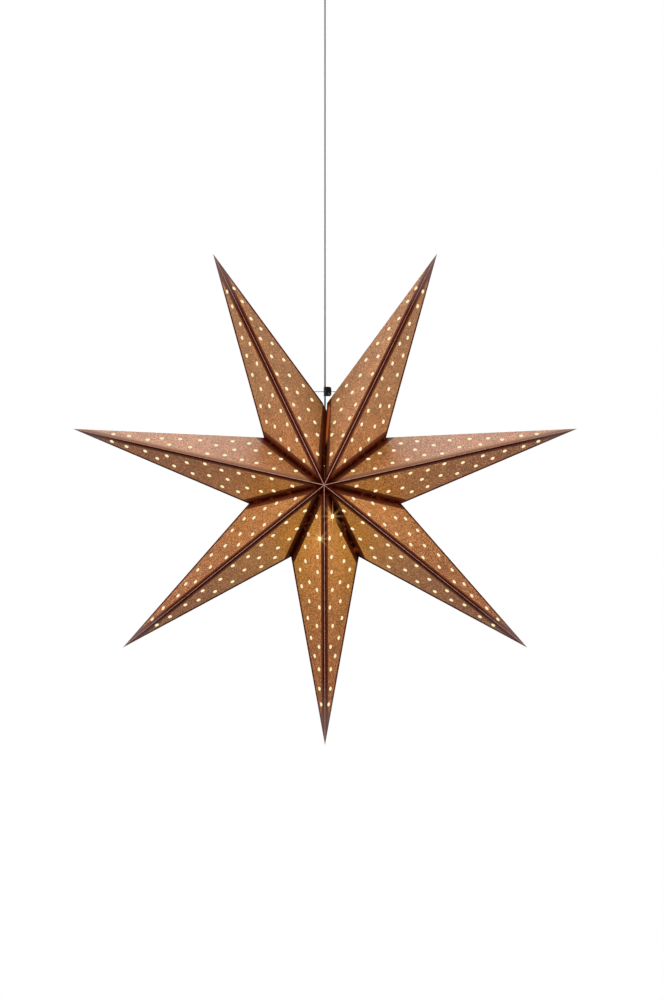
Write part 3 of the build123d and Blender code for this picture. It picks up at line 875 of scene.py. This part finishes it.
# A panel's punched holes: shares of the ridge's length from the hub, and of the panel's width there
HOLES = (
    (0.129, 0.56), (0.209, 0.23), (0.282, 0.23), (0.340, 0.21), (0.409, 0.26), (0.473, 0.20),
    (0.548, 0.35), (0.626, 0.31), (0.713, 0.41), (0.788, 0.52), (0.846, 0.49), (0.208, 0.73),
    (0.315, 0.57), (0.390, 0.50), (0.464, 0.58), (0.603, 0.70), (0.668, 0.62), (0.260, 0.70),
    (0.355, 0.77), (0.417, 0.80), (0.531, 0.73),
)


def gap_to_line(spot: Vector, start: Vector, end: Vector) -> float:
    """Return how far a spot is from the line through two others."""
    along = (end - start).normalized()
    return (spot - start).cross(along).length


def between(ends: Span, share: float) -> float:
    """Return the value at a share of the way from one end to the other."""
    return ends[0] + share * (ends[1] - ends[0])


@dataclass(frozen=True)
class Panel:
    """One flat panel of a point, a triangle between the hub, the tip and a notch.

    A ridge goes from hub to tip, a valley from hub to notch and an outer fold from notch to tip.
    """

    hub: Vector
    tip: Vector
    notch: Vector
    normal: Vector
    shift: float
    over: float
    spared: Span = (0.0, 0.0)
    painted_leak: Span | None = None

    @property
    def ridge(self) -> Vector:
        """The way along the ridge, from the hub."""
        return (self.tip - self.hub).normalized()

    @property
    def valley(self) -> Vector:
        """The way along the valley, from the hub."""
        return (self.notch - self.hub).normalized()

    @property
    def across(self) -> Vector:
        """The way across the panel, from the ridge to the notch."""
        way = self.notch - self.hub
        return (way - way.dot(self.ridge) * self.ridge).normalized()

    def valley_spot(self, reach: float) -> Vector:
        """Return a spot along the valley, from the hub, or from the notch if reach is negative."""
        return (self.hub if reach >= 0 else self.notch) + self.valley * reach

    def holes(self) -> list[Vector]:
        """Return the middles of this panel's holes.

        Returns:
            One spot for each hole, on the panel's outer face.
        """
        length = (self.tip - self.hub).length
        corner = self.notch - self.hub
        bend, width = corner.dot(self.ridge), corner.dot(self.across)
        spots = []
        for share, out in HOLES:
            reach = share * length + self.shift
            room = width * min(reach / bend, (length - reach) / (length - bend))
            spots.append(self.hub + self.ridge * reach + self.across * room * out)
        return spots

    def gaps(self, spot: Vector) -> tuple[float, float, float, float]:
        """Measure how far a spot on the panel is from the lines that its bands follow.

        Args:
            spot: A place on the panel.

        Returns:
            The gaps to the ridge, valley and outer fold, and the place across the seam's painted
            glow.
        """
        run = self.notch - self.hub
        share = (spot - self.hub).dot(run) / run.length_squared
        apart = gap_to_line(spot, self.hub, self.notch)
        lit = NO_LEAK
        if self.painted_leak:
            lit = LEAK + (apart - between(self.painted_leak, share)) * LEAK_SCALE
        return (
            gap_to_line(spot, self.hub, self.tip),
            apart + between(self.spared, share),
            gap_to_line(spot, self.notch, self.tip) + self.over,
            lit,
        )


@dataclass
class StarPoint:
    """One hollow point, folded from a sheet of card, with four panels and its glue flaps."""

    number: int
    sizes: StarSizes

    @property
    def angle(self) -> float:
        """The way that the point's tip goes, anticlockwise from +X as seen from the front."""
        return pi / 2 + self.sizes.pitch * (0.5 - self.number)

    @property
    def seam_edge(self) -> Edge | None:
        """The edge at the seam, on the two points beside it."""
        return {0: Edge.CLOCKWISE, 1: Edge.ANTICLOCKWISE}.get(self.number)

    def spot(self, radius: float, angle: float) -> Vector:
        """Return a place in the star's middle plane from its radius and angle."""
        return STAR_CENTRE + Vector((radius * cos(angle), 0.0, radius * sin(angle)))

    def panel(self, face: Face, edge: Edge) -> Panel:
        """Work out one panel.

        Args:
            face: The star's face that it is on.
            edge: The edge of the point that it reaches.

        Returns:
            The panel.
        """
        sizes = self.sizes
        at_seam = edge is self.seam_edge
        radius = sizes.seam_notch_radius if at_seam else sizes.notch_radius
        turn = sizes.pitch / 2 - (sizes.seam_angle if at_seam else 0.0)
        hub = STAR_CENTRE + Vector((0.0, face.value * sizes.half_depth, 0.0))
        tip = self.spot(sizes.tip_radius, self.angle)
        notch = self.spot(radius, self.angle + edge.value * turn)
        normal = (tip - hub).cross(notch - hub).normalized() * face.value * -edge.value
        shift = sizes.back_row_shift if face is Face.BACK else 0.0
        if at_seam:
            right = edge is Edge.ANTICLOCKWISE
            # The outer fold of the panel right of the seam is painted lit: its bare band and
            # painted shade are pushed off
            over = sizes.lit_rim_skip if right else 0.0
            # The front of that panel carries the painted glow of lamp light leaking from the seam
            painted_leak = sizes.painted_leak if right and face is Face.FRONT else None
            spared = sizes.seam_spared[self.number]
            return Panel(hub, tip, notch, normal, shift, over, spared, painted_leak)
        out = notch - STAR_CENTRE
        out = out - out.project(tip - STAR_CENTRE)
        out = (out - out.project((tip - notch).normalized())).normalized()
        # An outer fold that faces up, toward the light, is painted lit: its bare band and painted
        # shade are pushed off
        over = sizes.lit_rim_skip if out.z > sizes.lit_rim_rise else 0.0
        return Panel(hub, tip, notch, normal, shift, over)

    def wire_spot(self, panel: Panel) -> Vector:
        """Find where the hanger wire, which runs along X, goes through a panel.

        Args:
            panel: A panel beside the seam.

        Returns:
            The spot, on the panel's outer face.
        """
        low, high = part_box("hanger_wire")
        rise = high.z - (high.y - low.y) / 2 - panel.hub.z
        depth = (low.y + high.y) / 2 - panel.hub.y
        along = (rise * panel.normal.z + depth * panel.normal.y) / -panel.normal.x
        return panel.hub + Vector((along, depth, rise))

    def fill(self, bm: BMesh, panel: Panel, wire: Vector | None) -> list[BMFace]:
        """Fill one panel round its holes, with narrow strips along the ridge and the outer fold.

        Args:
            bm: The point's mesh.
            panel: The panel.
            wire: Where the hanger wire goes through it, if it does.

        Returns:
            The panel's faces.
        """
        sizes = self.sizes
        fold = (panel.tip - panel.notch).normalized()
        by_ridge = panel.valley_spot(sizes.fold_width / panel.valley.cross(panel.ridge).length)
        by_fold = panel.valley_spot(-sizes.fold_width / panel.valley.cross(fold).length)
        corners = (panel.hub, by_ridge, by_fold, panel.notch, panel.tip)
        hub, near, far, notch, tip = (bm.verts.new(corner) for corner in corners)
        faces = [bm.faces.new((hub, near, tip)), bm.faces.new((far, notch, tip))]
        rows = [bm.edges.new((near, far)), bm.edges.get((near, tip)), bm.edges.get((far, tip))]
        upright = panel.normal.cross(panel.ridge)
        turn = Matrix((panel.ridge, upright, panel.normal)).transposed().to_4x4()
        punched = [(place, sizes.hole_radius) for place in panel.holes()]
        if wire:
            punched.append((wire, sizes.wire_hole_radius))
        for place, radius in punched:
            spin = Matrix.Translation(place) @ turn
            ring = bmesh.ops.create_circle(
                bm, segments=sizes.hole_sides, radius=radius, matrix=spin
            )["verts"]
            rows += {edge for vert in ring for edge in vert.link_edges}
        for edge in rows:
            edge.smooth = False
        filled = bmesh.ops.triangle_fill(bm, use_beauty=True, edges=rows, normal=panel.normal)
        faces += pick(filled["geom"], BMFace)
        for face in faces:
            face.normal_update()
            if face.normal.dot(panel.normal) < 0:
                face.normal_flip()
        return faces

    def flap(self, bm: BMesh, corners: list[Vector], side: Side) -> None:
        """Add a flap, facing away from the point's own middle.

        Args:
            bm: The point's mesh.
            corners: The flap's four corners, in order.
            side: What its outer side is.
        """
        made = bm.faces.new([bm.verts.new(corner) for corner in corners])
        made.material_index = side.value
        for loop in made.loops:
            loop[bm.loops.layers.float_color["bands"]] = FLAP_GAPS
        made.normal_update()
        middle = self.spot(self.sizes.notch_radius, self.angle)
        if made.normal.dot(middle - made.calc_center_median()) > 0:
            made.normal_flip()

    def glue_flap(self, panel: Panel) -> list[Vector]:
        """Work out the flap that is folded in along a panel's valley.

        Args:
            panel: The panel that it hangs from.

        Returns:
            The flap's corners.
        """
        sizes = self.sizes
        inward = STAR_CENTRE - panel.hub + STAR_CENTRE - panel.notch
        inward = (inward - inward.dot(panel.valley) * panel.valley).normalized() * sizes.flap_width
        return [
            panel.valley_spot(sizes.flap_hub_gap),
            panel.valley_spot(-sizes.flap_notch_gap),
            panel.valley_spot(-sizes.flap_notch_gap - sizes.flap_width) + inward,
            panel.valley_spot(sizes.flap_hub_gap + sizes.flap_width) + inward,
        ]

    def closing_flap(self, panel: Panel, widths: Span, gaps: Span) -> list[Vector]:
        """Work out the flap that carries a panel on across the seam.

        Args:
            panel: The panel that goes on.
            widths: The flap's width at its end near the hub, and near the notch.
            gaps: How far it stays from the notch along the panel, and along its own outer edge.

        Returns:
            The flap's corners.
        """
        on = panel.across - panel.across.dot(panel.valley) * panel.valley
        on.normalize()
        near = panel.valley_spot(self.sizes.closing_hub_gap)
        far, outer = (panel.valley_spot(-gap) for gap in gaps)
        return [near, far, outer + on * widths[1], near + on * widths[0]]

    def fold(self) -> BMesh:
        """Fold the point's sheet.

        Returns:
            Its mesh, which has no thickness.
        """
        sizes = self.sizes
        bm = bmesh.new()
        bands = bm.loops.layers.float_color.new("bands")
        for face in Face:
            for edge in Edge:
                panel = self.panel(face, edge)
                at_seam = edge is self.seam_edge
                wired = at_seam and face is Face.BACK
                for made in self.fill(bm, panel, self.wire_spot(panel) if wired else None):
                    made.smooth = True
                    for loop in made.loops:
                        loop[bands] = panel.gaps(loop.vert.co)
                if at_seam and edge is Edge.CLOCKWISE:
                    widths, gaps = (sizes.closing_width,) * 2, sizes.closing_notch_gaps
                    if face is Face.FRONT:
                        widths, gaps = (sizes.lap_hub_width, sizes.lap_width), sizes.lap_notch_gaps
                    self.flap(bm, self.closing_flap(panel, widths, gaps), Side.PRINTED)
                elif not wired:
                    self.flap(bm, self.glue_flap(panel), Side.PLAIN)
        bmesh.ops.remove_doubles(bm, verts=bm.verts, dist=MERGE_GAP)
        for edge in bm.edges:
            if edge.is_boundary:
                edge.smooth = False
        return bm

    def build(self) -> None:
        """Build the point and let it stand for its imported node."""
        node = f"star_point_{self.number + 1}"
        finishes = (STAR_CARD, CARD_INSIDE, FLAP_CARD, FLAP_CARD)
        piece = link(f"{node}_card", self.fold(), *finishes)
        wall = piece.modifiers.new("card", "SOLIDIFY")
        wall.thickness = self.sizes.card
        wall.offset = -1.0
        wall.use_even_offset = True
        wall.thickness_clamp = 2.0
        wall.material_offset = 1
        wall.material_offset_rim = 1
        stand_in(piece, node, Body.PENDANT)


@dataclass
class Tie:
    """The wire across the seam, and the clip, plate and screw that hold it to the cord."""

    cord_bore: float = 0.00105
    corner: float = 0.0026
    edge: float = 0.0003
    screw: Screw = Screw(0.0015, 0.0009, 0.0009, 0.004)

    def block(self, node: str, section: list[Span]) -> None:
        """Build an upright block with its right corners well rounded.

        Args:
            node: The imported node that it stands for.
            section: The block's section, seen from above.
        """
        low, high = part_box(node)
        bm = bmesh.new()
        base = bm.faces.new([bm.verts.new((x, y, low.z)) for x, y in section])
        raised = bmesh.ops.extrude_face_region(bm, geom=[base], use_keep_orig=True)["geom"]
        bmesh.ops.translate(bm, verts=pick(raised, BMVert), vec=(0.0, 0.0, high.z - low.z))
        bmesh.ops.recalc_face_normals(bm, faces=bm.faces)
        level = [edge for edge in bm.edges if edge.verts[0].co.z == edge.verts[1].co.z]
        limit = high.x - self.edge
        right = [edge for edge in level if all(vert.co.x > limit for vert in edge.verts)]
        rounded(bm, right, self.corner, segments=6)
        rounded(bm, sharp_edges(bm), self.edge / 2, segments=2)
        shade(bm)
        piece = link(f"{node}_moulded", bm, BLACK_PLASTIC)
        stand_in(piece, node, Body.PENDANT)

    def build(self) -> None:
        """Build the clip and dress the wire."""
        dress(STEEL, "hanger_wire")
        low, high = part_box("clip_body")
        bore = self.cord_bore
        self.block("clip_body", [
            (low.x, low.y), (-bore, low.y), (-bore, bore), (bore, bore), (bore, low.y),
            (high.x, low.y), (high.x, high.y), (low.x, high.y),
        ])
        low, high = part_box("clip_plate")
        corners = [(low.x, low.y), (high.x, low.y), (high.x, high.y), (low.x, high.y)]
        self.block("clip_plate", corners)
        face = low.y
        low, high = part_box("clip_screw")
        bm = bmesh.new()
        seat = Vector(((low.x + high.x) / 2, face, (low.z + high.z) / 2))
        self.screw.add(bm, seat, Vector((0.0, -1.0, 0.0)))
        piece = link("clip_screw_slotted", bm, STEEL)
        stand_in(piece, "clip_screw", Body.PENDANT)


@dataclass
class Star:
    """The seven points, and the tie that holds the seam to the cord."""

    sizes: StarSizes

    def build(self) -> None:
        """Build the points and the tie."""
        for number in range(self.sizes.points):
            StarPoint(number, self.sizes).build()
        Tie().build()


# The cord


@dataclass
class HangingCord:
    """The thin cord, straight and tight from the grip's mouth down into the lampholder."""

    radius: float = 0.001
    mouth_z: float = -0.062
    bottom_z: float = -0.632
    stretches: int = 3

    def build(self) -> None:
        """Build the cord as one smooth line with a round section."""
        curve = bpy.data.curves.new("hanging_cord", "CURVE")
        curve.dimensions = "3D"
        curve.bevel_depth = self.radius
        curve.bevel_resolution = 4
        curve.use_fill_caps = True
        length = self.mouth_z - self.bottom_z
        line = curve.splines.new("NURBS")
        line.points.add(self.stretches)
        for step, point in enumerate(line.points):
            point.co = (0.0, 0.0, self.mouth_z - length * step / self.stretches, 1.0)
        line.order_u = 3
        line.use_endpoint_u = True
        cord = link("hanging_cord", curve, CORD_SHEATH)
        stand_in(cord, "cord", Body.CORD)


# The fittings


@dataclass
class CeilingFitting:
    """The cup, bracket, terminal block and grip at the ceiling."""

    screw: Screw = Screw(0.0032, 0.0018, 0.00175, 0.006)
    edge: float = 0.0004

    def cup_screws(self) -> None:
        """Build the two slotted screws in the cup's sides."""
        low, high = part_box("cup_screws")
        middle = (low.z + high.z) / 2
        bm = bmesh.new()
        for side in (-1, 1):
            seat = Vector((side * (high.x - self.screw.head_height), 0.0, middle))
            self.screw.add(bm, seat, Vector((side, 0.0, 0.0)))
        piece = link("cup_screws_slotted", bm, STEEL)
        stand_in(piece, "cup_screws", Body.CEILING)

    def build(self) -> None:
        """Build and dress the fitting's pieces."""
        self.cup_screws()
        for node in ("terminal_block", "grip_nut"):
            soften(node, Body.CEILING, NYLON, self.edge)
        dress(STEEL, "ceiling_bracket", "block_screw", "grip_screw")
        dress(CUP_PAINT, "ceiling_cup")
        dress(BRASS, "terminal_screws")
        dress(NYLON, "cord_grip")
        dress(CORD_SHEATH, "cord_tail")
        dress(CORE_SHEATH, "ceiling_cores")


@dataclass
class Lampholder:
    """The black lampholder on the cord's lower end."""

    edge: float = 0.0004

    def build(self) -> None:
        """Build and dress the holder's pieces."""
        for node in ("holder_cap", "holder_body"):
            soften(node, Body.PENDANT, BLACK_PLASTIC, self.edge)
        dress(STEEL, "cap_screw")
        dress(PORCELAIN, "contact_carrier")
        dress(BRASS, "centre_contact", "threaded_shell")
        dress(BRASS, "holder_terminals", "holder_terminal_screws")
        dress(CORE_SHEATH, "holder_cores")


class Lamp:
    """The lit lamp inside the star."""

    def build(self) -> None:
        """Dress the lamp's nodes."""
        dress(LAMP_METAL, "lamp_cap", "filament_post")
        dress(LAMP_BLACK, "lamp_insulator")
        dress(BRASS, "lamp_tip")
        dress(LAMP_GLASS, "lamp_glass", "lamp_stem")
        dress(FILAMENT, "filaments")


# The studio


def look(way: Vector) -> Euler:
    """Return the turn with which a camera or a light looks that way."""
    return way.to_track_quat("-Z", "Y").to_euler()


@dataclass
class Studio:
    """Floor, light, camera and the lens's glow."""

    frame_px: tuple[int, int] = (664, 1000)
    star_px: Span = (325.0, 486.3)
    metres_per_px: float = 0.001190
    distance: float = 4.0
    azimuth: float = 0.57
    elevation: float = -0.8
    sensor: float = 36.0
    floor_z: float = -2.2
    floor_radius: float = 3.0
    backdrop: Colour = (1.0, 1.0, 1.0)
    fill: Colour = (0.36, 0.36, 0.37)
    reflected: Colour = (0.06, 0.06, 0.06)

    def camera(self) -> None:
        """Set the camera where the photograph was taken from."""
        aim = Vector((
            (self.frame_px[0] / 2 - self.star_px[0]) * self.metres_per_px,
            0.0,
            STAR_Z - (self.frame_px[1] / 2 - self.star_px[1]) * self.metres_per_px,
        ))
        turn, rise = radians(self.azimuth), radians(self.elevation)
        back = Vector((sin(turn) * cos(rise), -cos(turn) * cos(rise), sin(rise)))
        data = bpy.data.cameras.new("photo_view")
        data.sensor_width = self.sensor
        data.lens = self.sensor * self.distance / (self.frame_px[1] * self.metres_per_px)
        data.clip_end = 50.0
        camera = link("photo_view", data)
        camera.location = aim + back * self.distance
        camera.rotation_euler = look(-back)
        bpy.context.scene.camera = camera

    def floor(self) -> None:
        """Lay a plain pale floor well below the star."""
        bm = bmesh.new()
        spot = Matrix.Translation((0.0, 0.0, self.floor_z))
        bmesh.ops.create_circle(
            bm, cap_ends=True, segments=96, radius=self.floor_radius, matrix=spot
        )
        link("floor", bm, FLOOR_PAINT)

    def light(self, name: str, place: Colour, side: float, watts: float) -> None:
        """Add a soft square light that looks at the star.

        Args:
            name: The light's name.
            place: Where it stands.
            side: The length of its side.
            watts: Its power.
        """
        data = bpy.data.lights.new(name, "AREA")
        data.size = side
        data.energy = watts
        lamp = link(name, data)
        lamp.location = place
        lamp.rotation_euler = look(STAR_CENTRE - Vector(place))

    def surround(self) -> None:
        """Set a white backdrop that gives less light than it shows."""
        world = bpy.data.worlds.new("white_surround")
        world.use_nodes = True
        wiring = Wiring(world.node_tree)
        path = wiring.node("ShaderNodeLightPath").outputs
        given = wiring.mix(path["Is Glossy Ray"], self.fill, self.reflected)
        shown = wiring.mix(path["Is Camera Ray"], given, self.backdrop)
        backdrop = world.node_tree.nodes["Background"].inputs
        wiring.feed(backdrop, {"Color": shown, "Strength": 1.0})
        bpy.context.scene.world = world

    def lens(self) -> None:
        """Let the brightest spots bloom a little, as in a photograph."""
        scene = bpy.context.scene
        scene.view_settings.view_transform = "Standard"
        scene.use_nodes = True
        scene.node_tree.nodes.clear()
        wiring = Wiring(scene.node_tree)
        picture = wiring.node("CompositorNodeRLayers").outputs["Image"]
        bloom = {
            "Image": picture, "Threshold": 1.2, "Strength": 1.0, "Streaks": 8, "Iterations": 2,
            "Fade": 0.80, "Color Modulation": 0.0, "Tint": (1.0, 0.86, 0.55),
        }
        rays = wiring.node("CompositorNodeGlare", bloom, glare_type="STREAKS", quality="HIGH")
        wiring.node("CompositorNodeComposite", {"Image": rays.outputs["Image"]})

    def build(self) -> None:
        """Set up the studio."""
        self.camera()
        self.floor()
        self.light("overhead", place=(-0.35, 0.60, 2.0), side=2.7, watts=85.0)
        self.light("left", place=(-2.3, -0.8, 0.0), side=2.0, watts=76.0)
        self.light("right", place=(2.3, -0.8, 0.0), side=2.0, watts=74.0)
        self.surround()
        self.lens()
        log.info("studio is set")


def main() -> None:
    """Build the scene."""
    logging.basicConfig(level=logging.INFO, format="%(name)s: %(message)s")
    make_effects()
    Studio().build()
    HangingCord().build()
    Star(StarSizes()).build()
    CeilingFitting().build()
    Lampholder().build()
    Lamp().build()


if __name__ == "__main__":
    main()
